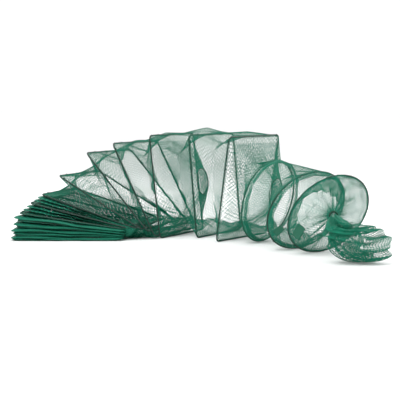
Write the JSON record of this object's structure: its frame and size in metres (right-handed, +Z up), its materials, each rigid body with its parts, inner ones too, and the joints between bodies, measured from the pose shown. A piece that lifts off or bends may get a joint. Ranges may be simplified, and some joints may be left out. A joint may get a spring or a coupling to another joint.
{
  "type": "folding crab trap",
  "caption": "Folding netting trap: square wire frames fanned up from a flat pile, round hoops, a tied end cone and a slack tail bag.",
  "frame": {"origin": "centre of the base of the whole trap, on the ground", "axes": "+X from the folded pile towards the tail, +Y away from the side the tail flops to, +Z up"},
  "size_m": [0.831, 0.8044, 0.2491],
  "materials": {
    "wire": "dark green coated steel wire",
    "netting": "green polyethylene netting",
    "webbing": "dark green woven tape",
    "tie_cord": "twisted dark green cord"
  },
  "bodies": {
    "frame_01": {"frame_01": "wire", "end_panel": "netting"},
    "frame_02": {"frame_02": "wire", "net_01_02": "netting"},
    "frame_03": {"frame_03": "wire", "net_02_03": "netting"},
    "frame_04": {"frame_04": "wire", "net_03_04": "netting"},
    "frame_05": {"frame_05": "wire", "net_04_05": "netting"},
    "frame_06": {"frame_06": "wire", "net_05_06": "netting"},
    "frame_07": {"frame_07": "wire", "net_06_07": "netting"},
    "frame_08": {"frame_08": "wire", "net_07_08": "netting"},
    "frame_09": {"frame_09": "wire", "net_08_09": "netting"},
    "frame_10": {"frame_10": "wire", "net_09_10": "netting"},
    "frame_11": {"frame_11": "wire", "net_10_11": "netting"},
    "frame_12": {"frame_12": "wire", "net_11_12": "netting"},
    "frame_13": {"frame_13": "wire", "net_12_13": "netting", "entrance_funnel_1": "netting"},
    "frame_14": {"frame_14": "wire", "net_13_14": "netting"},
    "frame_15": {"frame_15": "wire", "net_14_15": "netting", "entrance_funnel_2": "netting"},
    "hoop_1": {"hoop_1": "wire", "net_15_hoop_1": "netting"},
    "hoop_2": {"hoop_2": "wire", "net_hoop_1_2": "netting", "webbing_tab_1": "webbing"},
    "hoop_3": {"hoop_3": "wire", "net_hoop_2_3": "netting", "webbing_tab_2": "webbing", "end_cone": "netting", "tie_cord": "tie_cord"},
    "tail": {"tail_bag": "netting"}
  },
  "joints": [
    {"name": "frame_02_lift", "type": "slide", "parent": "frame_01", "child": "frame_02", "axis": [0.0028, 0, 1], "range_m": [0, 0.175], "deforming": ["net_01_02"]},
    {"name": "frame_03_lift", "type": "slide", "parent": "frame_02", "child": "frame_03", "axis": [0.0131, -0.0002, 0.9999], "range_m": [0, 0.175], "deforming": ["net_02_03"]},
    {"name": "frame_04_lift", "type": "slide", "parent": "frame_03", "child": "frame_04", "axis": [0.0319, -0.0007, 0.9995], "range_m": [0, 0.175], "deforming": ["net_03_04"]},
    {"name": "frame_05_lift", "type": "slide", "parent": "frame_04", "child": "frame_05", "axis": [0.06, -0.0017, 0.9982], "range_m": [0, 0.175], "deforming": ["net_04_05"]},
    {"name": "frame_06_lift", "type": "slide", "parent": "frame_05", "child": "frame_06", "axis": [0.0979, -0.0036, 0.9952], "range_m": [0, 0.175], "deforming": ["net_05_06"]},
    {"name": "frame_07_lift", "type": "slide", "parent": "frame_06", "child": "frame_07", "axis": [0.1459, -0.0064, 0.9893], "range_m": [0, 0.175], "deforming": ["net_06_07"]},
    {"name": "frame_08_fan", "type": "hinge", "parent": "frame_07", "child": "frame_08", "pos_m": [-0.15923, 0.08438, 0.0279], "axis": [0.1392, 0.9903, 0], "range_deg": [-4, 10], "deforming": ["net_07_08"]},
    {"name": "frame_09_fan", "type": "hinge", "parent": "frame_08", "child": "frame_09", "pos_m": [-0.14423, 0.08938, 0.0284], "axis": [0.2419, 0.9703, 0], "range_deg": [-3.5, 10], "deforming": ["net_08_09"]},
    {"name": "frame_10_fan", "type": "hinge", "parent": "frame_09", "child": "frame_10", "pos_m": [-0.13023, 0.09438, 0.0286], "axis": [0.3256, 0.9455, 0], "range_deg": [-11, 10], "deforming": ["net_09_10"]},
    {"name": "frame_11_fan", "type": "hinge", "parent": "frame_10", "child": "frame_11", "pos_m": [-0.11623, 0.10038, 0.0255], "axis": [0.3907, 0.9205, 0], "range_deg": [-17.5, 10], "deforming": ["net_10_11"]},
    {"name": "frame_12_fan", "type": "hinge", "parent": "frame_11", "child": "frame_12", "pos_m": [-0.10123, 0.10938, 0.0195], "axis": [0.4067, 0.9135, 0], "range_deg": [-13.5, 10], "deforming": ["net_11_12"]},
    {"name": "frame_13_fan", "type": "hinge", "parent": "frame_12", "child": "frame_13", "pos_m": [-0.08523, 0.11938, 0.0075], "axis": [0.4226, 0.9063, 0], "range_deg": [-19.5, 10], "deforming": ["net_12_13"]},
    {"name": "frame_14_slide", "type": "slide", "parent": "frame_13", "child": "frame_14", "axis": [0.9991, 0.043, 0], "range_m": [-0.08, 0.078], "deforming": ["net_13_14", "entrance_funnel_1"]},
    {"name": "frame_15_slide", "type": "slide", "parent": "frame_14", "child": "frame_15", "axis": [0.5887, -0.8084, 0], "range_m": [-0.087, 0.014], "deforming": ["net_14_15"]},
    {"name": "hoop_1_slide", "type": "slide", "parent": "frame_15", "child": "hoop_1", "axis": [0.4222, -0.9065, 0], "range_m": [-0.085, 0.019], "deforming": ["net_15_hoop_1", "entrance_funnel_2"]},
    {"name": "hoop_2_slide", "type": "slide", "parent": "hoop_1", "child": "hoop_2", "axis": [0.3839, -0.9234, 0], "range_m": [-0.149, 0], "deforming": ["net_hoop_1_2"]},
    {"name": "hoop_3_slide", "type": "slide", "parent": "hoop_2", "child": "hoop_3", "axis": [0.492, -0.8706, 0], "range_m": [-0.074, 0.089], "deforming": ["net_hoop_2_3", "webbing_tab_1"]},
    {"name": "tail_swing", "type": "hinge", "parent": "hoop_3", "child": "tail", "pos_m": [0.29877, -0.30562, 0.095], "axis": [-0.8321, -0.5547, 0], "range_deg": [0, 60]}
  ]
}
